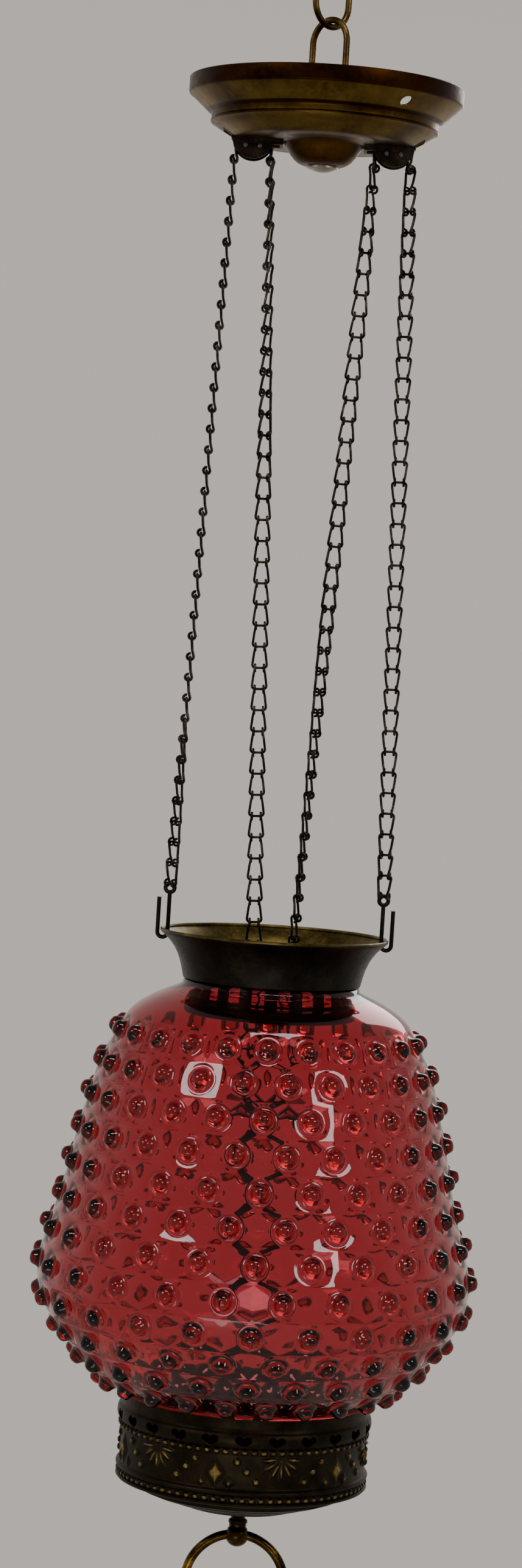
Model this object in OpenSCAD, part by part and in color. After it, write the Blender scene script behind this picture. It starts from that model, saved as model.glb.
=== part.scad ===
// Pull-down hanging lamp: two open links, a canopy with two pulleys, four runs of ladder
// chain, a glass shade under a flared crown, and a gallery with a candle cup and pull ring.
// Millimetres, +Z up. The origin is the inside top of the upper link, where the lamp hangs.
// The pulleys stand along X.

/* [Hanging links] */
// Outer length of each open link
link_length = 46; // [36:1:60]
// Outer width of each open link
link_width = 30.4; // [24:0.2:40]
// Wire diameter of the links
link_wire = 3.8; // [3:0.1:5]

/* [Canopy] */
// Diameter over the rim of the canopy
canopy_d = 156; // [140:1:200]
// Height from the rim to the flat floor of the canopy
canopy_h = 33.5; // [28:0.5:50]
// Sheet thickness of the spun brass
sheet = 1.2; // [0.8:0.1:2]
// Height of the upright rim band
rim_band_h = 8.5; // [5:0.5:14]
// Diameter of the cover screw hole in the cone
cone_hole_d = 7; // [4:0.5:10]

/* [Pulleys] */
// Distance of each pulley from the lamp's axis
pulley_x = 40; // [38:1:50]
// Diameter over the flanges of a pulley
pulley_d = 23.2; // [21.6:0.2:26]
// Diameter of the groove that the chain runs in
groove_d = 18.4; // [14:0.2:20]
// Diameter of the pulley pins
pin_d = 4; // [3:0.1:6]

/* [Chain] */
// Width of the ladder chain
chain_w = 9.5; // [8:0.1:11]
// Wire diameter of the ladder chain
chain_wire = 1.3; // [1:0.1:1.6]
// Distance from one rung to the next
chain_pitch = 11.9; // [10:0.1:14]
// Drop of the outer runs, from the pulley's axle to the crown's hooks
outer_drop = 424; // [350:1:600]
// Drop of the inner runs, from the pulley's axle to the holder's rings
inner_drop = 524; // [500:1:560]

/* [Crown] */
// Diameter over the rolled rim of the crown
crown_d = 130.6; // [120:0.2:160]
// Diameter of the crown where it meets the glass
crown_neck_d = 100.8; // [98:0.2:110]
// Height of the flared part
crown_h = 28; // [22:1:40]
// Wire diameter of the two hooks
hook_wire = 2.4; // [1.8:0.1:3]
// Number of spring fingers
finger_count = 20; // [12:1:28]

/* [Shade] */
// Largest diameter of the glass without its nubs
shade_d = 247.6; // [230:0.2:300]
// Height of the glass
shade_h = 237.5; // [200:0.1:300]
// Thickness of the glass
glass = 3; // [2:0.1:5]
// Number of nubs in a row
nub_count = 24; // [16:2:30]
// Radius of a nub
nub_r = 5.8; // [4:0.1:8]
// How far a nub stands out of the glass
nub_out = 4.9; // [2:0.1:5.5]

/* [Gallery] */
// Diameter of the pierced band that the glass rests on
gallery_d = 142.4; // [130:0.2:170]
// Height of the pierced band
pierced_h = 17; // [12:0.5:24]
// Height of the embossed band
embossed_h = 30; // [20:0.5:36]
// Depth of the pan under the bands
pan_h = 16.4; // [14:0.2:36]
// Number of heart piercings
heart_count = 24; // [16:1:30]

/* [Holder] */
// Outer diameter of the rings that carry the chains
strap_ring_d = 23; // [16:0.5:28]
// Width of a strap
strap_w = 6; // [5:0.5:9]
// Thickness of a strap
strap_t = 1.6; // [1:0.1:2.4]
// Distance of each strap's inner face from the axis
strap_r = 29; // [26:0.5:34]
// Turn of the straps about the lamp's axis
strap_turn = 73; // [0:1:90]
// Bore of the candle cup
candle_d = 22.4; // [18:0.1:26]
// Depth of the candle cup's bore
candle_depth = 22; // [16:0.5:32]

/* [Pull ring] */
// Outer diameter of the pull ring
ring_d = 62.6; // [50:0.2:80]
// Wire diameter of the pull ring
ring_wire = 5.4; // [4:0.1:6]
// Diameter of the ball that holds the ring
ball_d = 13.6; // [12.6:0.2:18]

/* [Hidden] */
$fn = 64;

play = 0.1;            // gap left where one hanging piece rests on another
run = 0.05;            // radial clearance of a turning fit
eps = 0.01;

// Links: centreline radius of the bends and the levels of the two hanging links
link_bend = (link_width - link_wire) / 2;
link_drop = link_length - 2 * link_wire - play;    // from one link's inside top to the next
link_axle_1 = -(link_length - 2 * link_wire) - link_wire / 2;   // bottom wire of the upper link
lower_top = -link_drop;                            // inside top of the lower link
link_axle_2 = lower_top - (link_length - 2 * link_wire) - link_wire / 2;

// Eye bolt: its eye rests on the lower link's bottom wire
eye_in = 5;
eye_wire = 4;
bolt_d = 5;
eye_z = link_axle_2 + link_wire / 2 + play - eye_in;
bolt_hole_d = bolt_d + 2 * run;

// Canopy levels, from the floor up
floor_under = eye_z - 25.2;      // underside of the flat floor
rim_z = floor_under + canopy_h;
boss_h = 12.5;
boss_r1 = 22;
boss_r2 = 12;
bolt_end = floor_under - boss_h - 1.6;
nut_d = 17.4;
nut_rim = 1.2;
nut_dome = 2.2;
nut_dome_r = (pow(nut_d / 2 - 0.8, 2) + pow(nut_dome, 2)) / (2 * nut_dome);
bridge_t = 3;
bridge_top = floor_under + sheet + bridge_t;
bridge_half = 20;
bridge_w = 16;

// Pulleys and their forks
groove_r = groove_d / 2;
chain_r = groove_r + play + chain_wire / 2;     // radius of the chain's wires on the pulley
chain_t = chain_wire + 0.1;
chain_gap = 0.4;                // between the chain over a pulley and its hanging runs
flange_t = 1.2;
groove_w = chain_w + 1;
pulley_w = groove_w + 2 * flange_t;
pulley_z = floor_under + 0.5;
cheek_t = 1.6;
cheek_y = pulley_w / 2 + 0.3;
fork_up = 6.5;                   // the cheeks reach this far above the axle
fork_down = 3.2;                 // and this far under it
fork_back = pulley_x - pulley_d / 2 - 5.2;
pin_head_t = 1.2;
slot_half = pulley_d / 2 + 5.6;
slot_w = 2 * (cheek_y + cheek_t) + 2.4;
rivet_d = 3;

// Crown levels
hook_x = crown_d / 2 - 4.1;
hook_gap = 5.8;                  // between the two legs of a hook
hook_up = 20;                    // from the rim to the bottom of the hook's eye
hook_eye_r = 2.6;
hook_leg_up = 17;
crown_z = pulley_z - outer_drop - hook_up - 2 * hook_eye_r - hook_wire / 2;  // the crown's rim
crown_foot = crown_z - crown_h;
throat_r = crown_neck_d / 2 - 3.9;          // hole in the crown's foot
finger_r = throat_r - play;
finger_len = 13;
finger_bead = 3.6;

// Glass levels
shade_top = crown_foot - 0.2;
shade_foot = shade_top - shade_h;
glass_neck_r = crown_neck_d / 2 - 0.1;
bulge = (shade_d / 2 - glass_neck_r) / 73.5;   // how far the outline swells, 1 as drawn
drop = shade_h / 239.3;                        // how tall the outline is, 1 as drawn
gallery_r = gallery_d / 2;
foot_r = gallery_r + 1.6;

// Gallery levels
gallery_top = shade_foot - 0.2;
pierced_foot = gallery_top - pierced_h;
embossed_foot = pierced_foot - embossed_h;
bead_r = 1.5;
pan_under = embossed_foot - pan_h;
pan_floor = pan_under + sheet;
pan_floor_r = strap_r + strap_t + 2.6;

// Holder levels
strap_ring_wire = 1.8;
strap_hole_d = strap_ring_wire + 1.6;
inner_end = pulley_z - inner_drop;             // where the inner chains end
strap_ring_z = inner_end - play - strap_ring_d / 2;
strap_hole_z = strap_ring_z - (strap_ring_d - strap_ring_wire) / 2;
strap_top = strap_hole_z + 3.4;
strap_h = strap_top - pan_floor;
strap_foot_len = 11;
tie_z = strap_top - 10;
stud_d = 4;
cup_base = 6;
cup_wall = 1.3;

// Finial and pull ring levels
ball_z = pan_under - 18.4;
ring_r = (ring_d - ring_wire) / 2;
ring_bore = ring_wire + 1.7;

// Colours
BRASS = "#8a6f3c";
DARK = "#3a2e20";
STEEL = "#4a443c";
RING = "#b98f45";
NICKEL = "#b9b19c";
GLASS = [0.62, 0.12, 0.16, 0.6];

// ---- outlines ----

// Unit normal of a path at point i, to the left of its direction
function along(path, i) =
  let(a = path[max(i - 1, 0)], b = path[min(i + 1, len(path) - 1)], d = b - a) d / norm(d);
function inset(path, t) =
  [for (i = [0 : len(path) - 1]) let(d = along(path, i)) path[i] + t * [d[1], -d[0]]];
function reversed(path) = [for (i = [len(path) - 1 : -1 : 0]) path[i]];
// Closed outline of a wall of thickness t inside the path
function wall(path, t) = concat(path, reversed(inset(path, t)));

// Outside of the glass from the neck down: radius and depth, both as drawn
GLASS_SHAPE = [
  [50.3, 0], [50.3, -2], [53, -4], [60, -7], [69, -11.5], [78, -18], [84, -26], [90.5, -39],
  [96.5, -54], [102, -74], [106.5, -94], [110.5, -113], [115, -132], [120.2, -149],
  [123.8, -166], [122.8, -181], [117.5, -194], [109, -206], [100, -217], [90.5, -227],
  [80, -234.5], [73, -238]];
function glass_point(p) =
  [glass_neck_r + (p[0] - 50.3) * bulge, shade_top + p[1] * drop];
glass_outline = [for (p = GLASS_SHAPE) glass_point(p)];
// Radius of the glass outside at a height
function glass_r(z) = lookup(-z, [for (p = glass_outline) [-p[1], p[0]]]);

// ---- helpers ----

module ring_of(r, wire) { rotate_extrude() translate([r, 0]) circle(d = wire); }
module bent(r, wire, angle) { rotate_extrude(angle = angle) translate([r, 0]) circle(d = wire); }
module rod(d, h) { cylinder(d = d, h = h); }

// Open oval link with its inside top at the origin, in the XZ plane
module oval_link() {
  straight = link_length - link_width;
  top = -link_bend + link_wire / 2;
  translate([0, 0, top]) rotate([90, 0, 0]) bent(link_bend, link_wire, 180);
  translate([0, 0, top - straight]) rotate([-90, 0, 0]) bent(link_bend, link_wire, 180);
  for (side = [-1, 1]) translate([side * link_bend, 0, top - straight]) rod(link_wire, straight);
}

// A flat run of ladder chain hanging from the origin along -Z, with its face across X
module ladder(length) {
  bays = floor(length / chain_pitch);
  bay = length / bays;
  rotate([0, 90, 0]) linear_extrude(chain_t, center = true) difference() {
    translate([0, -chain_w / 2]) square([length, chain_w]);
    for (i = [0 : bays - 1])
      translate([i * bay + chain_wire, -chain_w / 2 + chain_wire])
        square([bay - chain_wire - (i == bays - 1 ? chain_wire : 0), chain_w - 2 * chain_wire]);
  }
}

// A ladder run between two points
module run_between(a, b) {
  d = b - a;
  flat = norm([d[0], d[1]]);
  translate(a) rotate([0, 0, atan2(d[1], d[0])]) rotate([0, -atan2(flat, -d[2]), 0])
    rotate([0, 0, -atan2(d[1], d[0])]) ladder(norm(d));
}

// ---- hanging links and canopy ----

module upper_link() { color(BRASS) rotate([0, 0, 45]) oval_link(); }
module lower_link() { color(BRASS) translate([0, 0, lower_top]) rotate([0, 0, -45]) oval_link(); }

module eye_bolt() {
  color(STEEL) {
    translate([0, 0, eye_z]) rotate([0, 0, 45]) rotate([90, 0, 0])
      ring_of(eye_in + eye_wire / 2, eye_wire);
    translate([0, 0, bolt_end])
      rod(bolt_d, eye_z - eye_in - eye_wire / 2 - bolt_end);
  }
}

module lock_nut() {
  color(STEEL) translate([0, 0, bridge_top]) difference() {
    cylinder(d = 10, h = 4, $fn = 6);
    translate([0, 0, -1]) cylinder(d = bolt_hole_d, h = 6, $fn = 64);
  }
}

module bridge() {
  color(BRASS) difference() {
    translate([-bridge_half, -bridge_w / 2, floor_under + sheet])
      cube([2 * bridge_half, bridge_w, bridge_t]);
    translate([0, 0, floor_under]) rod(bolt_hole_d, 10);
    rivet_places() translate([0, 0, floor_under]) rod(rivet_d + 2 * run, 12);
  }
}

module rivet_places() {
  for (side = [-1, 1]) translate([side * (bridge_half - 5), 0, 0]) children();
}

// Outside of the canopy, from the rim down to the boss
R = canopy_d / 2;
CANOPY_SHAPE = [
  [R, 0], [R, -rim_band_h], [R - 2.2, -rim_band_h - 1.6], [R - 12, -19], [R - 13.4, -20],
  [R - 13.4, -canopy_h + 10], [R - 15.5, -canopy_h + 7.6], [R - 19, -canopy_h + 6],
  [R - 24, -canopy_h + 4.4], [R - 30, -canopy_h + 2.2], [R - 36, -canopy_h + 0.6],
  [R - 40.5, -canopy_h], [boss_r1, -canopy_h],
  [boss_r1 - 1.5, -canopy_h - 4], [boss_r1 - 3, -canopy_h - 8],
  [boss_r2 + 4, -canopy_h - boss_h + 1.6],
  [boss_r2, -canopy_h - boss_h], [bolt_d / 2 + 1.5, -canopy_h - boss_h]];

module canopy() {
  color(BRASS) difference() {
    translate([0, 0, rim_z]) rotate_extrude($fn = 128)
      polygon(wall(CANOPY_SHAPE, sheet));
    for (side = [-1, 1]) translate([side * pulley_x, 0, pulley_z])
      cube([2 * slot_half, slot_w, 24], center = true);
    rotate([0, 0, -52]) translate([R - 7, 0, rim_z - 14.5])
      rotate([0, 137, 0]) cylinder(d = cone_hole_d, h = 10, center = true);
  }
}

module cap_nut() {
  top = floor_under - boss_h;
  color(NICKEL) translate([0, 0, top]) difference() {
    union() {
      translate([0, 0, -nut_rim]) rod(nut_d, nut_rim);
      translate([0, 0, -nut_rim]) intersection() {
        translate([0, 0, nut_dome_r - nut_dome]) sphere(r = nut_dome_r);
        translate([0, 0, -nut_dome]) rod(nut_d - 1.6, nut_dome + eps);
      }
    }
    translate([0, 0, bolt_end - top - 0.4]) rod(bolt_hole_d, 8);
  }
}

// ---- pulleys ----

module fork() {
  wing = pulley_x + 5 - fork_back;
  difference() {
    union() {
      for (side = [-1, 1])
        translate([fork_back, side * (cheek_y + cheek_t / 2) - cheek_t / 2, pulley_z - fork_down])
          cube([wing, cheek_t, fork_up + fork_down]);
      translate([fork_back, -cheek_y - cheek_t, pulley_z - fork_down])
        cube([cheek_t, 2 * (cheek_y + cheek_t), fork_up + fork_down]);
      translate([bridge_half - 10, -bridge_w / 2 + 2, bridge_top])
        cube([fork_back - bridge_half + 10 + eps, bridge_w - 4, cheek_t]);
    }
    translate([pulley_x, 0, pulley_z]) rotate([90, 0, 0])
      cylinder(d = pin_d + 2 * run, h = 60, center = true);
    translate([bridge_half - 5, 0, bridge_top - 1]) rod(rivet_d + 2 * run, 5);
  }
}
module fork_right() { color(STEEL) fork(); }
module fork_left() { color(STEEL) mirror([1, 0, 0]) fork(); }

module fork_rivets() {
  color(BRASS) rivet_places() {
    translate([0, 0, floor_under + sheet]) rod(rivet_d, bridge_t + cheek_t);
    translate([0, 0, bridge_top + cheek_t]) rod(rivet_d + 2.4, 1.2);
  }
}

module pin() {
  half = cheek_y + cheek_t;
  translate([pulley_x, 0, pulley_z]) rotate([90, 0, 0]) {
    cylinder(d = pin_d, h = 2 * half, center = true);
    for (side = [0, 1]) mirror([0, 0, side]) translate([0, 0, half]) rod(pin_d + 3, pin_head_t);
  }
}
module pin_right() { color(BRASS) pin(); }
module pin_left() { color(BRASS) mirror([1, 0, 0]) pin(); }

module pulley() {
  translate([pulley_x, 0, pulley_z]) rotate([90, 0, 0]) difference() {
    union() {
      cylinder(d = groove_d, h = pulley_w, center = true);
      for (side = [0, 1]) mirror([0, 0, side])
        translate([0, 0, groove_w / 2]) rod(pulley_d, flange_t);
    }
    cylinder(d = pin_d + 4 * run, h = 2 * pulley_w, center = true);
    for (i = [0 : 3]) rotate(90 * i + 45) translate([groove_r - 3.4, 0, 0])
      cylinder(d = 2.4, h = 2 * pulley_w, center = true);
  }
}
module pulley_right() { color(DARK) pulley(); }
module pulley_left() { color(DARK) mirror([1, 0, 0]) pulley(); }

// ---- chain ----

// The half turn of chain over a pulley: two side wires and the rungs between them
module chain_over() {
  translate([pulley_x, 0, pulley_z]) rotate([90, 0, 0]) difference() {
    rotate_extrude(angle = 180)
      translate([chain_r - chain_t / 2, -chain_w / 2]) square([chain_t, chain_w]);
    for (i = [0 : 2]) rotate(60 * i + 30) translate([chain_r, 0, 0])
      cube([12, chain_r * 0.82, chain_w - 2 * chain_wire], center = true);
  }
}
module chain_right_over() { color(STEEL) chain_over(); }
module chain_left_over() { color(STEEL) mirror([1, 0, 0]) chain_over(); }

module chain_outer() {
  run_between([pulley_x + chain_r, 0, pulley_z - chain_gap],
              [hook_x, 0, crown_z + hook_up + 2 * hook_eye_r + hook_wire / 2 + play]);
}
module chain_right_outer() { color(STEEL) chain_outer(); }
module chain_left_outer() { color(STEEL) mirror([1, 0, 0]) chain_outer(); }

strap_mid = strap_r + strap_t / 2;
function strap_place(side) =
  [side * strap_mid * cos(strap_turn), side * strap_mid * sin(strap_turn)];
module chain_inner(side) {
  place = strap_place(side);
  run_between([side * (pulley_x - chain_r), 0, pulley_z - chain_gap],
              [place[0], place[1], inner_end + play]);
}
module chain_right_inner() { color(STEEL) chain_inner(1); }
module chain_left_inner() { color(STEEL) chain_inner(-1); }

// ---- crown and glass ----

// A wire hook: an eye, a shank through the rim, a bend under it and a leg outside
module hook() {
  bend_z = crown_z - 3;
  translate([hook_x, 0, crown_z + hook_up + hook_eye_r]) rotate([90, 0, 0])
    ring_of(hook_eye_r, hook_wire);
  translate([hook_x, 0, bend_z]) rod(hook_wire, hook_up - hook_wire / 4 + crown_z - bend_z);
  translate([hook_x + hook_gap / 2, 0, bend_z]) rotate([-90, 0, 0])
    bent(hook_gap / 2, hook_wire, 180);
  translate([hook_x + hook_gap, 0, bend_z]) rod(hook_wire, hook_leg_up + crown_z - bend_z);
}
module hook_right() { color(DARK) hook(); }
module hook_left() { color(DARK) mirror([1, 0, 0]) hook(); }

crown_r = crown_d / 2;
neck_r = crown_neck_d / 2;
flare = crown_r - neck_r;
CROWN_SHAPE = [
  [crown_r, 0], [crown_r - 0.3, -1.6], [crown_r - 2.6, -3.8], [neck_r + flare * 0.46, -10],
  [neck_r + flare * 0.25, -16], [neck_r + flare * 0.09, -crown_h + 5], [neck_r, -crown_h]];

module crown() {
  color(DARK) difference() {
    union() {
      translate([0, 0, crown_z]) rotate_extrude($fn = 128) polygon(wall(CROWN_SHAPE, sheet));
      translate([0, 0, crown_foot]) difference() {
        cylinder(r = neck_r - sheet / 2, h = sheet, $fn = 128);
        translate([0, 0, -1]) cylinder(r = throat_r, h = 4, $fn = 128);
      }
    }
    for (side = [-1, 1]) translate([side * hook_x, 0, crown_z - 14]) rod(hook_wire + 0.8, 20);
  }
}

module finger_ring() {
  top = crown_foot + sheet;
  low = crown_foot - finger_len;
  color(DARK) difference() {
    union() {
      rotate_extrude($fn = 128) {
        translate([finger_r - sheet, low - 2]) square([sheet, top - low + 2 + 1]);
        translate([finger_r - sheet, top]) square([sheet + 2.2, 1]);
      }
      translate([0, 0, low - finger_bead]) rotate_extrude($fn = 128)
        translate([finger_r - 0.8, 0]) circle(d = 2 * finger_bead);
    }
    for (i = [0 : finger_count - 1]) rotate(360 / finger_count * (i + 0.5))
      translate([finger_r, 0, low + (finger_len - 2) / 2])
        cube([8, PI * finger_r / finger_count, finger_len - 2], center = true);
    translate([0, 0, low - 12]) cylinder(r = finger_r - sheet - 1.2, h = 60, $fn = 128);
  }
}

module nub_row() {
  z = shade_top - 169 * drop;
  tilt = atan2(glass_r(z + 3) - glass_r(z - 3), 6);
  for (i = [0 : nub_count - 1]) rotate(360 / nub_count * (i + 0.5))
    translate([glass_r(z) - (nub_r - nub_out) * cos(tilt), 0, z + (nub_r - nub_out) * sin(tilt)])
      sphere(r = nub_r, $fn = 24);
}

module shade() {
  color(GLASS) {
    rotate_extrude($fn = 128) polygon(concat(
      glass_outline, [[foot_r, shade_foot], [gallery_r - 5, shade_foot]],
      reversed(inset(glass_outline, glass))));
    nub_row();
  }
}

// ---- gallery ----

module heart() {
  for (side = [-1, 1]) translate([side * 2.5, 0]) circle(r = 2.3);
  polygon([[-2.5, 1], [2.5, 1], [4.4, -1.3], [0, -4.2], [-4.4, -1.3]]);
}

module pierced_band() {
  color(DARK) difference() {
    translate([0, 0, pierced_foot]) rotate_extrude($fn = 128)
      translate([gallery_r - sheet, 0]) square([sheet, pierced_h]);
    for (i = [0 : heart_count - 1]) rotate(360 / heart_count * i)
      translate([gallery_r - 4, 0, pierced_foot + 5.4]) rotate([90, 0, 90])
        linear_extrude(8) heart();
  }
}

module embossed_band() {
  color(DARK) rotate_extrude($fn = 128) {
    translate([gallery_r - sheet, embossed_foot]) square([sheet, embossed_h]);
    for (z = [pierced_foot - bead_r, embossed_foot + bead_r])
      translate([gallery_r - 0.2, z]) circle(r = bead_r);
  }
}

PAN_SHAPE = [
  [gallery_r, embossed_foot], [gallery_r, embossed_foot - 0.8],
  [gallery_r - 1, embossed_foot - 2.2], [gallery_r - 9, embossed_foot - 4.6],
  [gallery_r - 10.6, embossed_foot - 5.6], [gallery_r - 11.4, embossed_foot - 7.2],
  [gallery_r - 15, embossed_foot - 8.8],
  [pan_floor_r + 2, pan_under + 1.8], [pan_floor_r, pan_under], [stud_d / 2 + play, pan_under]];

module pan() {
  inner = inset(PAN_SHAPE, sheet);
  last = len(inner) - 1;
  color(DARK) difference() {
    rotate_extrude($fn = 128) polygon(concat(PAN_SHAPE, reversed(inner)));
    strap_feet() translate([0, 0, pan_under - 1]) rod(rivet_d + 2 * run, 4);
  }
}

// Places of the strap rivets in the pan's floor
module strap_feet() {
  for (side = [-1, 1]) rotate(strap_turn) translate([side * (strap_r - 6.5), 0, 0]) children();
}

// ---- holder ----

module strap(side) {
  rotate(strap_turn) mirror([side < 0 ? 1 : 0, 0, 0]) difference() {
    union() {
      translate([strap_r, -strap_w / 2, pan_floor]) cube([strap_t, strap_w, strap_h]);
      translate([strap_r - strap_foot_len, -strap_w / 2, pan_floor])
        cube([strap_foot_len + eps, strap_w, strap_t]);
    }
    translate([strap_r - 3, 0, strap_hole_z]) rotate([0, 90, 0]) rod(strap_hole_d, 10);
    translate([strap_r - 6.5, 0, pan_floor - 1]) rod(rivet_d + 2 * run, 5);
  }
}
module strap_near() { color(DARK) strap(-1); }
module strap_far() { color(DARK) strap(1); }

module strap_rivets() {
  color(BRASS) strap_feet() {
    translate([0, 0, pan_under]) rod(rivet_d, sheet + strap_t);
    translate([0, 0, pan_floor + strap_t]) rod(rivet_d + 2, 1);
  }
}

module tie_plate() {
  color(DARK) translate([0, 0, tie_z]) intersection() {
    difference() {
      cylinder(r = strap_r + 2, h = strap_t);
      translate([0, 0, -1]) cylinder(r = strap_r - 9, h = 4);
    }
    rotate(strap_turn) translate([-strap_r, -50, -1]) cube([2 * strap_r, 100, 5]);
  }
}

// An open ring through the strap's hole that carries the chain
module strap_ring(side) {
  place = strap_place(side);
  translate([place[0], place[1], strap_ring_z]) rotate([90, 0, strap_turn])
    ring_of((strap_ring_d - strap_ring_wire) / 2, strap_ring_wire);
}
module strap_ring_near() { color(STEEL) strap_ring(-1); }
module strap_ring_far() { color(STEEL) strap_ring(1); }

module candle_cup() {
  color(BRASS) translate([0, 0, pan_floor]) difference() {
    union() {
      cylinder(d = candle_d + 2 * cup_wall, h = cup_base + candle_depth);
      translate([0, 0, cup_base + candle_depth - 1.4]) cylinder(d = candle_d + 8, h = 1.4);
    }
    translate([0, 0, cup_base]) cylinder(d = candle_d, h = candle_depth + 1);
    translate([0, 0, -1]) rod(stud_d + 2 * run, cup_base);
  }
}

FINIAL_SHAPE = [
  [0, 0], [4.8, 0], [4.8, -3.6], [5.8, -4.2], [5.8, -6], [4.6, -6.8], [4, -7.6], [4.2, -8.6],
  [5.4, -9.6], [5.6, -10.8], [5, -11.8], [5, -13], [0, -13]];

module finial() {
  color(RING) difference() {
    union() {
      translate([0, 0, pan_under]) rotate_extrude() polygon(FINIAL_SHAPE);
      translate([0, 0, ball_z]) sphere(d = ball_d);
      translate([0, 0, pan_under - 1]) rod(stud_d, sheet + cup_base - 1.6 + 1);
    }
    translate([0, 0, ball_z]) rotate([0, 90, 0]) cylinder(d = ring_bore, h = 40, center = true);
  }
}

module pull_ring() {
  color(RING) translate([0, 0, ball_z + 0.36 - ring_r]) rotate([90, 0, 0])
    ring_of(ring_r, ring_wire);
}

upper_link();
lower_link();
eye_bolt();
lock_nut();
bridge();
canopy();
cap_nut();
fork_left();
fork_right();
fork_rivets();
pin_left();
pin_right();
pulley_left();
pulley_right();
chain_left_over();
chain_right_over();
chain_left_outer();
chain_right_outer();
chain_left_inner();
chain_right_inner();
hook_left();
hook_right();
crown();
finger_ring();
shade();
pierced_band();
embossed_band();
pan();
strap_near();
strap_far();
strap_rivets();
tie_plate();
strap_ring_near();
strap_ring_far();
candle_cup();
finial();
pull_ring();
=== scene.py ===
import bpy
import math
from mathutils import Matrix, Quaternion, Vector


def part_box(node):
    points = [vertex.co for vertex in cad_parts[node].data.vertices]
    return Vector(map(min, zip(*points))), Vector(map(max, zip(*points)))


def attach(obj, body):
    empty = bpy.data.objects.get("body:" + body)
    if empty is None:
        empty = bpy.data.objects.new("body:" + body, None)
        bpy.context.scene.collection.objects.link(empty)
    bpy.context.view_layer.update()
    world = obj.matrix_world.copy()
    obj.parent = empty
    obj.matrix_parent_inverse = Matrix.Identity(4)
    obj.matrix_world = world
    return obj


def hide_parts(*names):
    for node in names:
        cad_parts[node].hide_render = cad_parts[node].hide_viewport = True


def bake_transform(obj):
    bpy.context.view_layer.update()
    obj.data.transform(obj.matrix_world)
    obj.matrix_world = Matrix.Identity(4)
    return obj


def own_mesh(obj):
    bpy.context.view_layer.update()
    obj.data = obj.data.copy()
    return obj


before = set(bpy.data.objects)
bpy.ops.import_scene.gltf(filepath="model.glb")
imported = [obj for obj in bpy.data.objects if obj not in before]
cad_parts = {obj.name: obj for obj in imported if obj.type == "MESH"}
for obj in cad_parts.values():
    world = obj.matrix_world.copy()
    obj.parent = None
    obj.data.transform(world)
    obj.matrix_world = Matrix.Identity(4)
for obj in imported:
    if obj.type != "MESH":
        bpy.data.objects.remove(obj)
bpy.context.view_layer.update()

# A lamp's maker thinks in millimetres; lengths here are in metres.
MM = 0.001
TURN = 2 * math.pi
AXIS_Z = (0, 0, 1)

# ---- places, from the CAD parts in model.glb ----
canopy_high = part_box("canopy")[1]
crown_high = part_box("crown")[1]
shade_low, shade_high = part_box("shade")
band_low, band_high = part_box("embossed_band")
pierced_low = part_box("pierced_band")[0]
pan_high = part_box("pan")[1]
pulley_low, pulley_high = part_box("pulley_right")

RIM_Z = canopy_high[2]
CANOPY_R = canopy_high[0]
CROWN_Z = crown_high[2]
CROWN_R = crown_high[0]
SHADE_TOP = shade_high[2]
SHADE_FOOT = shade_low[2]
PULLEY_X = (pulley_low[0] + pulley_high[0]) / 2
PULLEY_Z = (pulley_low[2] + pulley_high[2]) / 2


# ---- camera, lights and backdrop ----

CAMERA_PLACE = Vector((-0.013, -2.09, -0.394))
CAMERA_DOWN = math.radians(2.13)
CAMERA_ROLL = math.radians(3.55)


def add_camera():
    """A long lens level with the chains, looking slightly down and rolled a few degrees."""
    bpy.ops.object.camera_add()
    camera = bpy.context.object
    camera.data.lens = 84
    camera.data.sensor_width = 36
    camera.data.clip_end = 20
    bpy.context.scene.camera = camera
    camera.matrix_world = (
        Matrix.Translation(CAMERA_PLACE)
        @ Matrix.Rotation(math.radians(90) - CAMERA_DOWN, 4, "X")
        @ Matrix.Rotation(CAMERA_ROLL, 4, "Z")
    )


add_camera()


def add_panel(name, place, aim, size, power, colour=(1, 1, 1)):
    bpy.ops.object.light_add(type="AREA", location=place)
    lamp = bpy.context.object
    lamp.name = name
    lamp.data.shape = "RECTANGLE"
    lamp.data.size, lamp.data.size_y = size
    lamp.data.energy = power
    lamp.data.color = colour
    lamp.rotation_euler = (Vector(aim) - Vector(place)).to_track_quat("-Z", "Y").to_euler()


add_panel("window_left", (-1.6, -1.5, 0.7), (0, 0, -0.6), (0.7, 0.6), 13)
add_panel("window_right", (1.5, -1.7, 0.4), (0, 0, -0.6), (0.5, 0.6), 9)
add_panel("ceiling_front", (0.2, -1.0, 1.5), (0, 0, -0.5), (1.2, 0.5), 16)
add_panel("back_fill", (0.6, 1.8, 0.4), (0, 0, -0.6), (1.2, 1.2), 14)
add_panel("low_fill", (-0.3, -1.6, -1.5), (0, 0, -0.9), (1.0, 0.6), 5)


# ---- materials ----

def linear(code):
    """An sRGB hex colour as the linear RGBA that shaders take."""
    parts = [int(code[i:i + 2], 16) / 255 for i in (1, 3, 5)]
    return (*[c / 12.92 if c <= 0.04045 else ((c + 0.055) / 1.055) ** 2.4 for c in parts], 1)


def add(material, kind, sets=(), links=()):
    """Adds a shader node. sets are (socket or property, value); links are (socket, output)."""
    tree = material.node_tree
    made = tree.nodes.new(kind)
    for key, value in dict(sets).items():
        if isinstance(key, str) and hasattr(made, key):
            setattr(made, key, value)
        else:
            made.inputs[key].default_value = value
    for socket, output in dict(links).items():
        tree.links.new(output, made.inputs[socket])
    return made


def surface(name, **sockets):
    """A new material whose shader's own sockets are set."""
    material = bpy.data.materials.new(name)
    material.use_nodes = True
    shader = material.node_tree.nodes["Principled BSDF"]
    for socket, value in sockets.items():
        shader.inputs[socket.replace("_", " ").title().replace("Ior", "IOR")].default_value = value
    return material, shader


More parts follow.
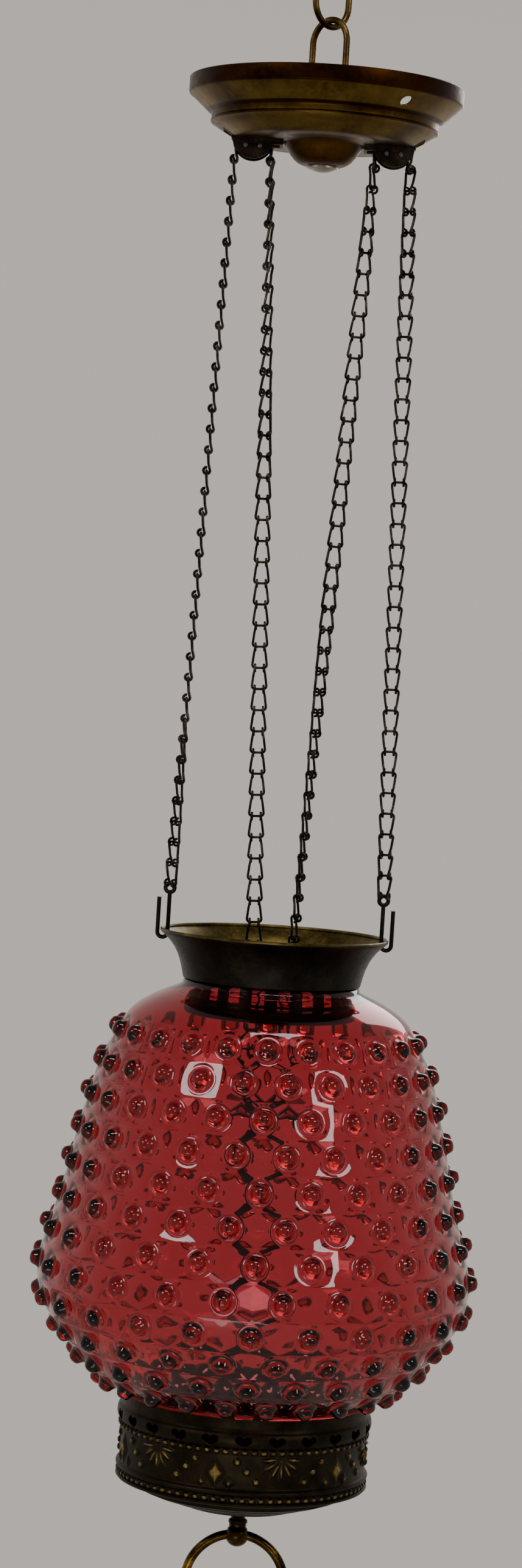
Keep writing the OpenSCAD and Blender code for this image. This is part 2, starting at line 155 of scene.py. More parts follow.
def ramp(material, factor, stops):
    """A colour ramp through (place, colour) stops."""
    made = add(material, "ShaderNodeValToRGB", links={"Fac": factor})
    elements = made.color_ramp.elements
    while len(elements) < len(stops):
        elements.new(0.5)
    for element, (place, colour) in zip(elements, stops):
        element.position = place
        element.color = linear(colour)
    return made.outputs["Color"]


def grain(material, size_mm, detail=4, roughness=0.55, stretch=(1, 1, 1)):
    """Noise whose features are about size_mm across, on the piece's own coordinates."""
    coords = add(material, "ShaderNodeTexCoord")
    placed = add(material, "ShaderNodeMapping", {"Scale": stretch},
                 {"Vector": coords.outputs["Object"]})
    return add(material, "ShaderNodeTexNoise",
               {"Scale": 1 / (size_mm * MM), "Detail": detail, "Roughness": roughness},
               {"Vector": placed.outputs["Vector"]}).outputs["Fac"]


def mixed_colour(material, first, second, blend="MIX", factor=None):
    """Two colour outputs mixed by an output, or fully. The colour sockets of a Mix node are
    its seventh and eighth, and its third output."""
    made = add(material, "ShaderNodeMix", {"data_type": "RGBA", "blend_type": blend,
                                           "Factor": 1.0}, {6: first, 7: second})
    if factor:
        material.node_tree.links.new(factor, made.inputs["Factor"])
    return made.outputs[2]


def aged_metal(name, stops, shine, patch_mm, wear_mm, bump):
    """Metal whose colour and gloss wander with handling and tarnish."""
    material, shader = surface(name, metallic=1.0)
    links = material.node_tree.links
    patches = grain(material, patch_mm)
    wear = grain(material, wear_mm, 6, 0.65)
    mixed = add(material, "ShaderNodeMath", {"operation": "MULTIPLY_ADD", 1: 0.35},
                {0: wear, 2: patches})
    mottle = add(material, "ShaderNodeMapRange", {"From Min": 0.42, "From Max": 0.95},
                 {"Value": mixed.outputs[0]}).outputs[0]
    links.new(ramp(material, mottle, stops), shader.inputs["Base Color"])
    gloss = add(material, "ShaderNodeMapRange",
                {"From Min": 0.3, "From Max": 0.7, "To Min": shine[0], "To Max": shine[1]},
                {"Value": wear}).outputs[0]
    links.new(gloss, shader.inputs["Roughness"])
    raised = add(material, "ShaderNodeBump", {"Strength": bump, "Distance": 0.3 * MM},
                 {"Height": wear})
    links.new(raised.outputs["Normal"], shader.inputs["Normal"])
    return material


def painted_reflection_rings(material, widest, rings):
    """Painted reflection: darker and lighter rings about the lamp's axis, darkest on the canopy's
    upright rim and step, where the brass reflects dark surroundings.
    """
    tree = material.node_tree
    colour = tree.nodes["Principled BSDF"].inputs["Base Color"]
    ground = colour.links[0].from_socket
    place = add(material, "ShaderNodeTexCoord").outputs["Object"]
    level = add(material, "ShaderNodeVectorMath", {"operation": "MULTIPLY", 1: (1, 1, 0)},
                {0: place})
    away = add(material, "ShaderNodeVectorMath", {"operation": "LENGTH"},
               {0: level.outputs["Vector"]}).outputs["Value"]
    share = add(material, "ShaderNodeMath", {"operation": "DIVIDE", 1: widest}, {0: away})
    painted_reflection_tint = ramp(material, share.outputs[0], [(r * MM / widest, shade) for r, shade in rings])
    tree.links.new(mixed_colour(material, ground, painted_reflection_tint, "MULTIPLY"), colour)


# Spun brass left to tarnish: olive gold with brown patches, satin.
spun_brass = aged_metal("spun_brass", [(0, "#3b2b12"), (0.45, "#6d5a2b"), (1, "#917d45")],
                        (0.26, 0.46), 26, 3.0, 0.08)
# Rings of painted reflection on everything in this brass, darkest on the canopy's upright rim and
# step.
painted_reflection_rings(spun_brass, CANOPY_R, [
    (18, "#b08a60"), (30, "#d8c8a8"), (47, "#a88a60"), (54, "#fff4d8"), (61, "#e8d8b0"),
    (64, "#fff0c8"), (64.8, "#7a5434"), (66.6, "#6e4a2c"), (67.4, "#fff4d0"),
    (76.6, "#e8dcbc"), (77.5, "#7c5636")])
# The same brass bare and dull, as it is inside the crown.
worn_brass = aged_metal("worn_brass", [(0, "#2a2110"), (0.5, "#5e5027"), (1, "#8d7c48")],
                        (0.3, 0.5), 18, 2.2, 0.08)
# Brass wire that has been handled: warm, duller in the bends.
wire_brass = aged_metal("wire_brass", [(0, "#2c2112"), (0.5, "#5b4726"), (1, "#8b6f3c")],
                        (0.25, 0.45), 9, 1.4, 0.1)
# Brass rubbed bright by hands, with brown left in the pores.
rubbed_brass = aged_metal("rubbed_brass", [(0, "#1d150b"), (0.55, "#4a3718"), (1, "#a87f3c")],
                          (0.16, 0.34), 9, 1.0, 0.08)
# Bronzed brass: a nearly black brown with olive where the lacquer has thinned.
dark_bronze = aged_metal("dark_bronze", [(0, "#15130e"), (0.5, "#2a2721"), (1, "#423d30")],
                         (0.34, 0.52), 22, 2.2, 0.1)
# Drawn steel wire gone dark: grey brown, half gloss.
dark_wire = aged_metal("dark_wire", [(0, "#16120e"), (0.5, "#302a23"), (1, "#5a5348")],
                       (0.28, 0.45), 6, 0.8, 0.12)
# Oiled iron: dark, with dull brown rust in patches.
oiled_iron = aged_metal("oiled_iron", [(0, "#1c1712"), (0.55, "#352c23"), (1, "#54493b")],
                        (0.38, 0.6), 8, 1.0, 0.2)
# Nickel plate worn dull: pale and warm.
worn_nickel = aged_metal("worn_nickel", [(0, "#7d766a"), (0.5, "#a9a294"), (1, "#cfc9bb")],
                         (0.28, 0.45), 6, 1.2, 0.1)


def antique_brass(name, recess, land):
    """Stamped brass dipped dark and rubbed back, with gold on the high relief, partly rubbed wear
    and partly a painted highlight on the crests, on a dark brown ground.
    """
    material = aged_metal(name, [(0, recess[0]), (1, recess[1])], (0.36, 0.55), 12, 1.2, 0.12)
    tree = material.node_tree
    shader = tree.nodes["Principled BSDF"]
    ground = shader.inputs["Base Color"].links[0].from_socket
    # Gold by relief height: rubbed wear plus a painted highlight on bead tops and petal crests.
    height = add(material, "ShaderNodeAttribute", {"attribute_name": "relief"}).outputs["Fac"]
    rub = add(material, "ShaderNodeMath", {"operation": "MULTIPLY_ADD", 1: 0.7, 2: -0.35},
              {0: grain(material, 4, 3)})
    reach = add(material, "ShaderNodeMath", {"operation": "ADD"}, {0: height, 1: rub.outputs[0]})
    wear_and_highlight_mask = add(material, "ShaderNodeMapRange", {"From Min": 0.5, "From Max": 1.1},
               {"Value": reach.outputs[0]}).outputs[0]
    bright = ramp(material, grain(material, 2), [(0.3, land[0]), (0.7, land[1])])
    tree.links.new(mixed_colour(material, ground, bright, factor=wear_and_highlight_mask),
                   shader.inputs["Base Color"])
    return material


stamped_brass = antique_brass("stamped_brass", ("#191510", "#383023"), ("#6f5a30", "#b99d5c"))


# How much of each colour the glass lets through, and how strongly it takes up the rest
RUBY_PASSES = (0.77, 0.01, 0.05, 1)
RUBY_DENSITY = 240.0


def ruby():
    """Blown ruby glass, coloured in the pot: a clear cranberry that deepens with thickness."""
    material, shader = surface("ruby_glass", transmission_weight=1.0, roughness=0.015, ior=1.5)
    shader.inputs["Base Color"].default_value = linear("#e8a2ac")
    # The colour is in the metal of the glass, so the nubs and the thick lip are deeper
    depth = add(material, "ShaderNodeVolumeAbsorption",
                {"Density": RUBY_DENSITY, "Color": RUBY_PASSES})
    material.node_tree.links.new(
        depth.outputs["Volume"], material.node_tree.nodes["Material Output"].inputs["Volume"])
    waves = add(material, "ShaderNodeBump", {"Strength": 0.12, "Distance": 0.4 * MM},
                {"Height": grain(material, 26, 2)})
    material.node_tree.links.new(waves.outputs["Normal"], shader.inputs["Normal"])
    return material


ruby_glass = ruby()


def painted_wall():
    material, shader = surface("studio_grey", roughness=0.9)
    shader.inputs["Base Color"].default_value = linear("#c9c4bd")
    return material


# ---- modelling helpers ----

def clear():
    if bpy.context.mode != "OBJECT":
        bpy.ops.object.mode_set(mode="OBJECT")
    bpy.ops.object.select_all(action="DESELECT")


def edit():
    bpy.ops.object.mode_set(mode="EDIT")
    bpy.ops.mesh.select_mode(type="VERT")


def rest():
    bpy.ops.object.mode_set(mode="OBJECT")


def settle(piece, name, material, body, stands_for, smooth=35):
    """Puts a finished piece's place in its mesh, and gives it its finish, body and nodes.

    A piece given no body is attached to none; the chain's inner runs, which span two bodies, are
    such pieces.
    """
    clear()
    piece.select_set(True)
    bpy.context.view_layer.objects.active = piece
    bpy.ops.object.transform_apply(location=True, rotation=True, scale=True)
    bpy.ops.object.shade_smooth_by_angle(angle=math.radians(smooth))
    piece.name = name
    piece.data.name = name
    piece.data.materials.clear()
    piece.data.materials.append(material)
    if body:
        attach(piece, body)
    if stands_for:
        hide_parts(*stands_for)
    return piece


def outward():
    """In edit mode: merges doubles and points all faces outwards."""
    bpy.ops.mesh.select_all(action="SELECT")
    bpy.ops.mesh.remove_doubles(threshold=0.01 * MM)
    bpy.ops.mesh.normals_make_consistent(inside=False)


def rounded(points, steps=4):
    """A smooth curve through (radius, height) points."""
    out = []
    last = len(points) - 1
    for i in range(last):
        a, b = points[max(i - 1, 0)], points[i]
        c, d = points[i + 1], points[min(i + 2, last)]
        for k in range(steps):
            t = k / steps
            out.append(tuple(
                0.5 * (2 * q + (r - p) * t + (2 * p - 5 * q + 4 * r - s) * t * t
                       + (3 * q - p - 3 * r + s) * t ** 3)
                for p, q, r, s in zip(a, b, c, d)))
    return out + [points[last]]


def spun(outline, steps=96, wall=0.0):
    """Turns an outline of (radius, height) points, in metres, about the lamp's axis."""
    clear()
    first = outline[0]
    bpy.ops.mesh.primitive_plane_add(size=MM, location=(first[0], 0, first[1]))
    piece = bpy.context.object
    edit()
    bpy.ops.mesh.merge(type="CENTER")
    for a, b in zip(outline, outline[1:]):
        bpy.ops.mesh.extrude_vertices_move(
            TRANSFORM_OT_translate={"value": (b[0] - a[0], 0, b[1] - a[1])})
    bpy.ops.mesh.select_all(action="SELECT")
    bpy.ops.mesh.spin(steps=steps, angle=TURN, center=(0, 0, 0), axis=AXIS_Z)
    outward()
    rest()
    if wall:
        skin = piece.modifiers.new("wall", "SOLIDIFY")
        skin.thickness = wall
        skin.offset = -1
        bpy.ops.object.modifier_apply(modifier=skin.name)
    return piece


def wire(start, heading, thick, moves, sides=8):
    """Round wire that starts at a point. A move is a straight (x, y, z) or a bend
    (centre, axis, angle, steps), and the wire's end is carried along it. Spin turns the
    other way round its axis than a rotation does, so its angle is reversed."""
    clear()
    tilt = Vector(heading).to_track_quat("Z", "Y").to_euler()
    bpy.ops.mesh.primitive_circle_add(vertices=sides, radius=thick / 2, fill_type="NGON",
                                      location=start, rotation=tilt)
    piece = bpy.context.object
    bpy.ops.object.transform_apply(location=True, rotation=True, scale=True)
    edit()
    bpy.ops.mesh.select_all(action="SELECT")
    for move in moves:
        if len(move) == 3:
            bpy.ops.mesh.extrude_region_move(TRANSFORM_OT_translate={"value": move})
        else:
            centre, axis, angle, steps = move
            bpy.ops.mesh.spin(steps=steps, angle=-math.radians(angle), center=centre, axis=axis)
    bpy.ops.mesh.select_all(action="SELECT")
    bpy.ops.mesh.normals_make_consistent(inside=False)
    rest()
    return piece


def copy_of(piece, place):
    """A copy with its own mesh, put in place by a matrix."""
    made = piece.copy()
    made.data = piece.data.copy()
    bpy.context.collection.objects.link(made)
    made.data.transform(place)
    return made


def joined(pieces):
    clear()
    for piece in pieces:
        piece.select_set(True)
    bpy.context.view_layer.objects.active = pieces[0]
    bpy.ops.object.join()
    return bpy.context.object


def discard(piece):
    bpy.data.objects.remove(piece, do_unlink=True)


def pick(piece, wanted):
    """Goes into edit mode with only the wanted faces selected."""
    clear()
    piece.select_set(True)
    bpy.context.view_layer.objects.active = piece
    edit()
    bpy.ops.mesh.select_mode(type="FACE")
    bpy.ops.mesh.select_all(action="DESELECT")
    rest()
    for face in piece.data.polygons:
        face.select = wanted(face)
    bpy.ops.object.mode_set(mode="EDIT")


def cut(piece, *tools):
    """Takes the tools' shapes out of the piece."""
    for tool in tools:
        hole = piece.modifiers.new("cut", "BOOLEAN")
        hole.operation = "DIFFERENCE"
        hole.solver = "EXACT"
        hole.object = tool
        clear()
        piece.select_set(True)
        bpy.context.view_layer.objects.active = piece
        bpy.ops.object.modifier_apply(modifier=hole.name)
        discard(tool)


# ---- the glass shade ----

# Outside of the glass: radius and depth under its top, in millimetres
GLASS_SHAPE = [
    (50.3, 0), (50.3, 2), (53, 4), (60, 7), (69, 11.5), (78, 18), (84, 26), (90.5, 39),
    (96.5, 54), (102, 74), (106.5, 94), (110.5, 113), (115, 132), (120.2, 149),
    (123.8, 166), (122.8, 181), (117.5, 194), (109, 206), (100, 217), (90.5, 227),
    (80, 234.5), (73, 238)]
SHAPE_TALL = 239.3          # height that GLASS_SHAPE was drawn for
GLASS = 3 * MM
NUBS = 24
ROWS = 12
ROW_STEP = 19.9 * MM
FIRST_ROW_DEPTH = 29 * MM
# A nub's outline from its base to its tip: distance from its middle and height, in mm
NUB_SHAPE = [(9.6, 0.0), (8.6, -0.3), (7.2, -0.35), (6.0, 0.1), (5.0, 1.0), (4.4, 2.2),
             (3.9, 3.4), (3.0, 4.5), (1.6, 5.1), (0.0, 5.3)]
SIDES = 32


class Profile:
    """Place and slope at a distance along a smooth outline."""

    def __init__(self, points):
        self.points = [Vector((r, z)) for r, z in points]
        self.far = [0.0]
        for a, b in zip(self.points, self.points[1:]):
            self.far.append(self.far[-1] + (b - a).length)

    def at(self, distance):
        distance = min(max(distance, 0), self.far[-1])
        i = max(k for k in range(len(self.far) - 1) if self.far[k] <= distance + 1e-9)
        share = (distance - self.far[i]) / (self.far[i + 1] - self.far[i])
        return self.points[i].lerp(self.points[i + 1], share)

    def out(self, distance):
        """Unit normal away from the axis."""
        along = (self.at(distance + MM) - self.at(distance - MM)).normalized()
        return Vector((-along.y, along.x))

    def distance_at(self, depth_z):
        return min((abs(p.y - depth_z), far) for p, far in zip(self.points, self.far))[1]


def glass_profile():
    tall = (SHADE_TOP - SHADE_FOOT) / SHAPE_TALL
    points = rounded([(r * MM, SHADE_TOP - d * tall) for r, d in GLASS_SHAPE], 6)
    return Profile(points)


def square_edge(k):
    """Point k of SIDES round the edge of a 2 x 2 square, evenly spaced along its sides."""
    side, along = divmod(k, SIDES // 4)
    t = -1 + 2 * along / (SIDES // 4)
    return ((t, -1), (1, t), (-t, 1), (-1, -t))[side]


def make_shade():
    profile = glass_profile()
    first = profile.distance_at(SHADE_TOP - FIRST_ROW_DEPTH)
    verts, faces = [], []
    rings = len(NUB_SHAPE)          # the square edge, then all rings but the tip

    def place(distance, angle, height):
        p = profile.at(distance) + profile.out(distance) * height
        return (p.x * math.cos(angle), p.x * math.sin(angle), p.y)

    step = TURN / NUBS
    for row in range(ROWS):
        middle = first + row * ROW_STEP
        radius = profile.at(middle).x
        for n in range(NUBS):
            turn = step * (n + (row % 2) / 2)
            base = len(verts)
            for ring in range(rings):
                for k in range(SIDES):
                    ex, ey = square_edge(k)
                    if ring == 0:
                        verts.append(place(middle + ey * ROW_STEP / 2, turn + ex * step / 2, 0))
                    else:
                        far, height = NUB_SHAPE[ring - 1]
                        round_by = math.hypot(ex, ey)
                        x, y = ex / round_by * far * MM, ey / round_by * far * MM
                        verts.append(place(middle + y, turn + x / radius, height * MM))
            tip = len(verts)
            verts.append(place(middle, turn, NUB_SHAPE[-1][1] * MM))
            for ring in range(rings):
                for k in range(SIDES):
                    a = base + ring * SIDES + k
                    b = base + ring * SIDES + (k + 1) % SIDES
                    if ring == rings - 1:
                        faces.append((a, b, tip))
                    else:
                        faces.append((a, b, b + SIDES, a + SIDES))
    nubs = mesh_piece("nubs", verts, faces)
    # The plain neck and shoulder above the nubs, the foot, and the inside, spun in one go
    start = first - ROW_STEP / 2
    end = first + (ROWS - 0.5) * ROW_STEP
    rows = NUBS * SIDES // 4
    above = [profile.at(start * k / 14) for k in range(15)]
    inside = []
    total = profile.far[-1]
    for k in range(44):
        d = total * (1 - k / 43)
        p = profile.at(d) - profile.out(d) * GLASS
        inside.append(p)
    below = [profile.at(end), profile.at(min(end + 1 * MM, total)),
             Vector((72.4 * MM, SHADE_FOOT)), Vector((67.0 * MM, SHADE_FOOT))]
    outline = [(p.x, p.y) for p in below + inside + above]
    plain = spun_mesh("plain_glass", outline, rows)
    shade = joined([nubs, plain])
    edit()
    outward()
    rest()
    return settle(shade, "glass_shade", ruby_glass, "shade_lift", ["shade"], 180)


def mesh_piece(name, verts, faces):
    mesh = bpy.data.meshes.new(name)
    mesh.from_pydata(verts, [], faces)
    piece = bpy.data.objects.new(name, mesh)
    bpy.context.collection.objects.link(piece)
    return piece


def spun_mesh(name, outline, steps):
    verts = [(r * math.cos(TURN * k / steps), r * math.sin(TURN * k / steps), z)
             for k in range(steps) for r, z in outline]
    size = len(outline)
    faces = [(k * size + i, k * size + i + 1, (k + 1) % steps * size + i + 1,
              (k + 1) % steps * size + i) for k in range(steps) for i in range(size - 1)]
    return mesh_piece(name, verts, faces)


make_shade()

# ---- canopy ----

# Outside of the canopy from its rim down: radius and depth under the rim, in millimetres
CANOPY_SHAPE = [
    (77.0, 0.4), (77.6, 0), (78, 0.4), (78, 8.1), (77.6, 8.9), (75.8, 10.1), (66.4, 18.6),
    (65.2, 19.3), (64.6, 20.2), (64.4, 23), (64.9, 23.8), (64.4, 24.8), (62.6, 25.6),
    (61.4, 26.6), (58.2, 28.4), (54.4, 30.6), (51.6, 32.6), (49, 33.5), (36, 33.5), (23.6, 33.5),
    (22.6, 34), (20.8, 36.8), (18.6, 40.4), (16.4, 43), (14, 44.8), (11.5, 45.8), (4, 46)]
SLOT_SIZE = (34.4 * MM, 19.1 * MM, 24 * MM)


def box_tool(size, place):
    clear()
    bpy.ops.mesh.primitive_cube_add(size=1, location=place, scale=size)
    return bpy.context.object


def make_canopy():
    canopy = spun([(r * MM, RIM_Z - d * MM) for r, d in CANOPY_SHAPE], 128, 1.2 * MM)
    slots = [box_tool(SLOT_SIZE, (side * PULLEY_X, 0, PULLEY_Z)) for side in (-1, 1)]
    clear()
    bpy.ops.mesh.primitive_cylinder_add(vertices=32, radius=3.5 * MM, depth=10 * MM)
    hole = bpy.context.object
    hole.data.transform(
        Matrix.Rotation(math.radians(-52), 4, "Z")
        @ Matrix.Translation((CANOPY_R - 7 * MM, 0, RIM_Z - 14.5 * MM))
        @ Matrix.Rotation(math.radians(137), 4, "Y"))
    cut(canopy, *slots, hole)
    return settle(canopy, "canopy_shell", spun_brass, "canopy", ["canopy"])


# ---- crown ----

# From the rolled rim to the turned-in foot: radius and depth under the rim, in millimetres
CROWN_SHAPE = [
    (63.4, 2.6), (63.2, 1.2), (63.7, 0.3), (64.6, 0), (65.3, 0.5), (65.3, 1.5), (64.6, 2.5),
    (62.6, 4.1), (59.4, 7.2), (56.9, 10.5), (54.9, 14), (53.3, 18), (52, 22.4), (51.1, 26.4),
    (50.8, 27.6), (50, 28), (46.6, 28)]


def make_crown():
    crown = spun([(r * MM, CROWN_Z - d * MM) for r, d in CROWN_SHAPE], 128, 1.1 * MM)
    settle(crown, "crown_flare", dark_bronze, "shade_lift", ["crown"])
    # Bare brass inside and along the rolled rim, where the bronzing never took
    crown.data.materials.append(worn_brass)
    for face in crown.data.polygons:
        x, y, z = face.center
        if face.normal.x * x + face.normal.y * y < 0 or z > CROWN_Z - 1.2 * MM:
            face.material_index = 1
    return crown


# ---- ladder chain ----

CHAIN_WIRE = 1.6 * MM
CHAIN_PITCH = 11.9 * MM
OVER_R = 9.95 * MM          # of the wires on the pulley


def make_link():
    """One link: two small hooks at the origin, and legs that lean out to a rung above them."""
    curl, side, tip = 1.95 * MM, 2.5 * MM, math.radians(95)
    link = wire((curl * math.cos(tip), side, curl * math.sin(tip)),
                (math.sin(tip), 0, -math.cos(tip)), CHAIN_WIRE,
                [((0, side, 0), (0, 1, 0), 275, 8),
                 (1.15 * MM, 0.8 * MM, 4 * MM), (0.8 * MM, 0.8 * MM, 6.2 * MM),
                 ((0, 2.4 * MM, 10.2 * MM), (1, 0, 0), 90, 3),
                 (0, -2.4 * MM, 0)], 6)
    pick(link, lambda face: all(abs(link.data.vertices[i].co.y) < 0.01 * MM
                                for i in face.vertices))
    bpy.ops.mesh.delete(type="FACE")
    rest()
    twin = link.modifiers.new("twin", "MIRROR")
    twin.use_axis = (False, True, False)
    twin.merge_threshold = 0.02 * MM
    bpy.ops.object.modifier_apply(modifier=twin.name)
    edit()
    outward()
    rest()
    return link


def set_link(link, start, end, out):
    """A copy of the link from start to end, its hooks curling towards out."""
    along = end - start
    up = along.normalized()
    out = (out - out.dot(up) * up).normalized()
    across = up.cross(out)
    turn = Matrix((out, across, up * (along.length / CHAIN_PITCH))).transposed().to_4x4()
    return copy_of(link, Matrix.Translation(start) @ turn)


def twist_at(share, turns):
    """Degrees of twist at a share of the run, from its (share, degrees) places."""
    for (a, low), (b, high) in zip(turns, turns[1:]):
        if share <= b:
            return low + (high - low) * (share - a) / (b - a)
    return turns[-1][1]


def run_of_chain(link, start, end, out, turns):
    """Links from start to end; turns give the twist by share of the run."""
    along = end - start
    count = round(along.length / CHAIN_PITCH)
    pieces = []
    for k in range(count):
        twist = Quaternion(along.normalized(), math.radians(twist_at((k + 0.5) / count, turns)))
        low, high = start + along * (k / count), start + along * ((k + 1) / count)
        pieces.append(set_link(link, low, high, twist @ out))
    return joined(pieces)


# Twist of each run from the crown up to the pulley, and from the pulley down to the holder
OUTER_TWIST = {"left": [(0, 50), (0.25, 0), (1, 0)], "right": [(0, 60), (0.15, 90), (0.7, 90),
                                                             (0.95, 45), (1, 0)]}
INNER_TWIST = {"left": [(0, 0), (0.22, 30), (0.42, 90), (1, 90)],
               "right": [(0, 0), (0.1, 60), (0.17, 90), (0.45, 80), (0.65, 30), (0.8, 10),
                         (1, 60)]}
CARRIER = {"left": "near", "right": "far"}


def make_chains():
    link = make_link()
    for side, sign in (("left", -1), ("right", 1)):
        # up from the crown's hook
        eye_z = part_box("hook_" + side)[1][2] - 1.2 * MM
        foot = Vector((sign * (CROWN_R - 4.1 * MM), 0, eye_z))
        top = Vector((sign * (PULLEY_X + OVER_R), 0, PULLEY_Z))
        run = run_of_chain(link, foot, top, Vector((sign, 0, 0)), OUTER_TWIST[side])
        settle(run, f"chain_{side}_outer_links", dark_wire, "canopy", [f"chain_{side}_outer"],
               60)
        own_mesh(run)
        # over the pulley
        bends = [Vector((sign * (PULLEY_X + OVER_R * math.cos(math.radians(60 * k))), 0,
                         PULLEY_Z + OVER_R * math.sin(math.radians(60 * k)))) for k in range(4)]
        middle = Vector((sign * PULLEY_X, 0, PULLEY_Z))
        over = joined([set_link(link, a, b, (a + b) / 2 - middle)
                       for a, b in zip(bends, bends[1:])])
        settle(over, f"chain_{side}_over_links", dark_wire, "canopy", [f"chain_{side}_over"],
               60)
        # down to the ring on the strap
        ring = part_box("strap_ring_" + CARRIER[side])
        end = Vector([(a + b) / 2 for a, b in zip(*ring)])
        end.z = ring[1][2] - 2.45 * MM
        run = run_of_chain(link, bends[-1], end, Vector((sign, 0, 0)), INNER_TWIST[side])
        settle(run, f"chain_{side}_inner_links", dark_wire, None, [f"chain_{side}_inner"],
               60)
        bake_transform(run)
    discard(link)


# ---- gallery ----

FAN_AT = -72            # degrees about the axis of one fan; there is a fan every 60
REPEATS = 6
BEADS = 84
BAND_COLUMNS = BEADS * 10
BAND_ROWS = 60
BAND_TALL = 30          # mm
GROUND_R = 70.6
FAN_TOP = 25.4
PETALS = (-84, -56, -28, 0, 28, 56, 84)
DOMES = ((25, 23), (19.5, 17.6), (14, 12.2))
STAR_AT = math.pi * GROUND_R / REPEATS


def stamping(arc, up):
    """Height of the relief in mm, arc mm from a fan's middle and up mm from the band's foot."""
    high = 0.0
    x, down = arc, FAN_TOP - up
    far = math.hypot(x, down)
    if 1.2 < far < 13 and down > -1.6:
        bow = math.sin(math.pi * (far - 1.2) / 11.8)
        heading = math.atan2(x, down)
        for petal in PETALS:
            off = abs(heading - math.radians(petal)) * far
            high = max(high, 1.7 * bow ** 0.6 * (1 - off / (0.3 + 1.5 * bow)))
    star = abs(abs(arc) - STAR_AT)
    high = max(high, 2.2 * (1 - star / 6.6 - abs(up - 16.2) / 9.8))
    high = max(high, 1.6 * (1 - abs(star - 7.8) / 3.4 - abs(up - 10.6) / 4.0))
    for x, z in DOMES:
        near = ((abs(arc) - x) ** 2 + (up - z) ** 2) / 2.1 ** 2
        if near < 1:
            high = max(high, 1.5 * math.sqrt(1 - near))
    return max(high, 0)


def bead_height(step, up, middle):
    """Height of a bead row in mm: step counts beads, so a bead's middle is a whole number."""
    along = (step - round(step)) * TURN * GROUND_R / BEADS / 2.15
    near = along ** 2 + ((up - middle) / 1.5) ** 2
    return 1.4 * math.sqrt(1 - near) if near < 1 else 0.0


def band_ground(up):
    if 3 < up < 7.6:
        return 1.9 * math.sin(math.pi * (up - 3) / 4.6)
    return 0.3 if up <= 3 or up >= 27 else 0.0


def make_embossed_band():
    foot, tall = band_low[2], band_high[2] - band_low[2]
    period = BAND_COLUMNS // REPEATS
    verts, marks, faces = [], [], []
    for column in range(BAND_COLUMNS):
        angle = math.radians(FAN_AT) + TURN * column / BAND_COLUMNS
        arc = (column % period) / BAND_COLUMNS * TURN * GROUND_R
        arc = arc - 2 * STAR_AT if arc > STAR_AT else arc
        for row in range(BAND_ROWS + 3):
            if row <= BAND_ROWS:
                up = BAND_TALL * row / BAND_ROWS
                high = max(stamping(arc, up), bead_height(column / 10, up, 1.5),
                           bead_height(column / 10, up, 28.5))
                r = GROUND_R + band_ground(up) + high
                # Share of relief that the brass turns gold, as wear and as a painted highlight on
                # the crests.
                marks.append(min(high / 1.5, 1.0) ** 1.6)
            else:
                up = BAND_TALL if row == BAND_ROWS + 1 else 0
                r = GROUND_R - 1.1
                marks.append(0.0)
            verts.append((r * MM * math.cos(angle), r * MM * math.sin(angle),
                          foot + up / BAND_TALL * tall))
    size = BAND_ROWS + 3
    for column in range(BAND_COLUMNS):
        a, b = column * size, (column + 1) % BAND_COLUMNS * size
        for row in range(size):
            up = (row + 1) % size
            faces.append((a + row, b + row, b + up, a + up))
    band = mesh_piece("band", verts, faces)
    layer = band.data.attributes.new("relief", "FLOAT", "POINT")
    layer.data.foreach_set("value", marks)
    return settle(band, "embossed_gallery_band", stamped_brass, "holder", ["embossed_band"],
                  80)


# The collar that the glass sits on: radius and height over its foot, in millimetres
COLLAR_SHAPE = [
    (71.2, 17), (71.2, 12), (71.2, 9.8), (71.9, 9.2), (72.7, 8), (73.1, 6.4), (73.2, 5),
    (72.9, 3.2), (72.2, 1.6), (71.4, 0.6), (70.9, 0)]


HEARTS = 24
HEART_UP = 5.4 * MM     # of a heart's middle over the collar's foot


def heart_tool():
    """A prism with a heart's outline, through the collar's front at +X."""
    outline = [(0, 1.1)]
    outline += [(2.5 + 2.3 * math.cos(math.radians(a)), 2.3 * math.sin(math.radians(a)))
                for a in range(150, -46, -30)]
    outline += [(2.6, -2.7), (0, -4.2)]
    outline += [(-x, y) for x, y in reversed(outline[1:-1])]
    count = len(outline)
    near, far = 66 * MM, 78 * MM
    verts = [(face, x * MM, y * MM) for face in (near, far) for x, y in outline]
    faces = [tuple(range(count)), tuple(reversed(range(count, 2 * count)))]
    faces += [(k, count + k, count + (k + 1) % count, (k + 1) % count) for k in range(count)]
    tool = mesh_piece("heart", verts, faces)
    clear()
    tool.select_set(True)
    bpy.context.view_layer.objects.active = tool
    edit()
    outward()
    rest()
    return tool


def make_collar():
    foot = pierced_low[2]
    collar = spun([(r * MM, foot + up * MM) for r, up in COLLAR_SHAPE], 144, 1.0 * MM)
    heart = heart_tool()
    hearts = [copy_of(heart, Matrix.Rotation(TURN * k / HEARTS, 4, "Z")
                      @ Matrix.Translation((0, 0, foot + HEART_UP))) for k in range(HEARTS)]
    discard(heart)
    cut(collar, joined(hearts))
    return settle(collar, "pierced_collar", stamped_brass, "holder", ["pierced_band"],
                  50)


# The shallow pan with its turned rings: radius and depth under the band, in millimetres
PAN_SHAPE = [
    (70.6, 0), (71.6, 0.1), (72.2, 0.7), (72.3, 1.4), (71.7, 2.1), (70, 2.6), (64, 4), (62.2, 4.5),
    (61.7, 5.5), (60.5, 5.7), (60.1, 7), (56.6, 8.4), (55.4, 8.2), (54.7, 9.2), (46, 12),
    (45, 11.8), (44.2, 12.7), (37.2, 14.8), (36, 14.7), (35, 15.8), (33, 16.4), (14, 16.4),
    (13, 15.9), (12, 16.4), (2.1, 16.4)]


def make_pan():
    pan = spun([(r * MM, pan_high[2] - d * MM) for r, d in PAN_SHAPE], 128, 1.1 * MM)
    return settle(pan, "gallery_pan", stamped_brass, "holder", ["pan"])
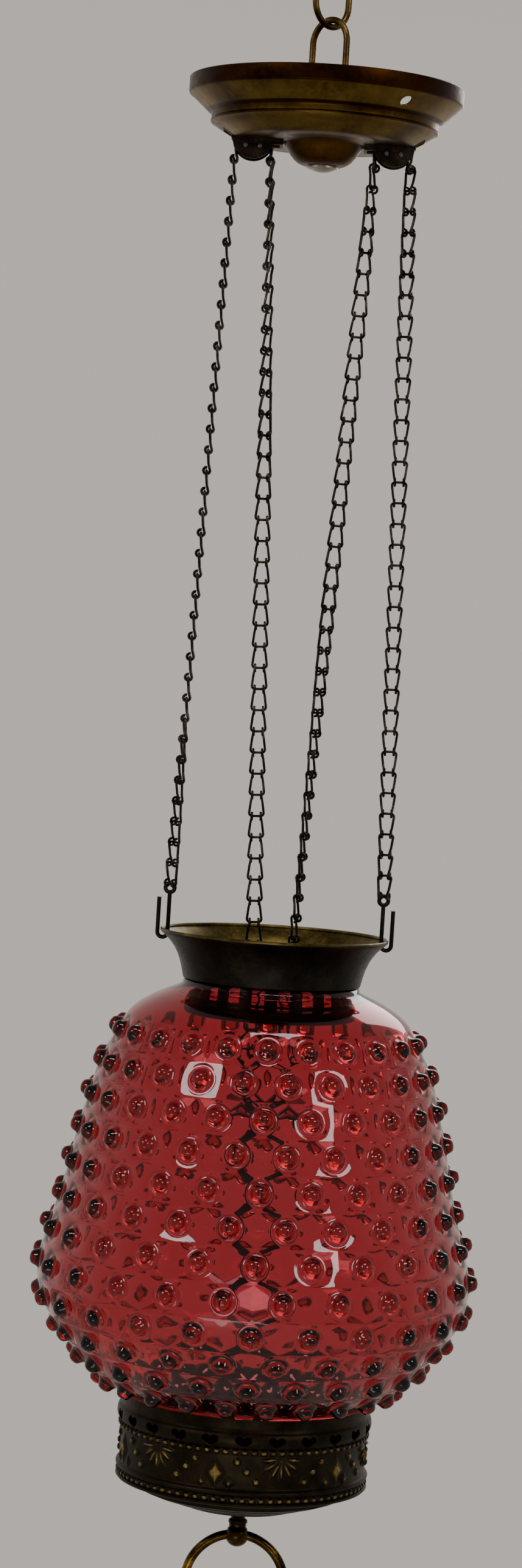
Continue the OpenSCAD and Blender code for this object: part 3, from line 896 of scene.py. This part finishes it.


# ---- finishes of the CAD parts kept from model.glb ----

KEPT = {
    wire_brass: ["upper_link", "lower_link"],
    oiled_iron: ["eye_bolt", "lock_nut", "fork_left", "fork_right", "pulley_left",
                 "pulley_right", "pin_left", "pin_right"],
    spun_brass: ["bridge", "fork_rivets", "candle_cup", "strap_rivets"],
    worn_nickel: ["cap_nut"],
    dark_wire: ["strap_ring_near", "strap_ring_far"],
    dark_bronze: ["finger_ring", "hook_left", "hook_right", "strap_near", "strap_far",
                  "tie_plate"],
    rubbed_brass: ["finial", "pull_ring"],
}


def finish_kept():
    for material, nodes in KEPT.items():
        for node in nodes:
            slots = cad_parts[node].data.materials
            slots.clear()
            slots.append(material)


make_canopy()
make_crown()
make_chains()
make_embossed_band()
make_collar()
make_pan()
finish_kept()

# ---- floor and backdrop ----

def make_floor():
    clear()
    bpy.ops.mesh.primitive_plane_add(size=4, location=(0, 0, -1.6))
    floor = bpy.context.object
    floor.name = "floor"
    floor.data.materials.append(painted_wall())


make_floor()


def make_studio():
    """Even grey, brightest behind the lamp and dimmer in front and overhead, so that the
    glass is lit through."""
    world = bpy.context.scene.world or bpy.data.worlds.new("studio")
    bpy.context.scene.world = world
    world.use_nodes = True
    sky = world.node_tree
    sky.nodes["Background"].inputs["Color"].default_value = linear("#c6c0b9")
    facing = sky.nodes.new("ShaderNodeSeparateXYZ")
    sky.links.new(sky.nodes.new("ShaderNodeTexCoord").outputs["Generated"], facing.inputs[0])
    dim = sky.nodes.new("ShaderNodeMath")
    dim.operation = "MULTIPLY"
    falls = (("Y", -0.6, 0.7, 0.5, 1.0), ("Z", 0.15, 0.8, 1.0, 0.4))
    for k, (way, *ends) in enumerate(falls):
        fall = sky.nodes.new("ShaderNodeMapRange")
        for socket, value in zip(("From Min", "From Max", "To Min", "To Max"), ends):
            fall.inputs[socket].default_value = value
        sky.links.new(facing.outputs[way], fall.inputs["Value"])
        sky.links.new(fall.outputs["Result"], dim.inputs[k])
    sky.links.new(dim.outputs["Value"], sky.nodes["Background"].inputs["Strength"])


make_studio()

bpy.context.view_layer.update()
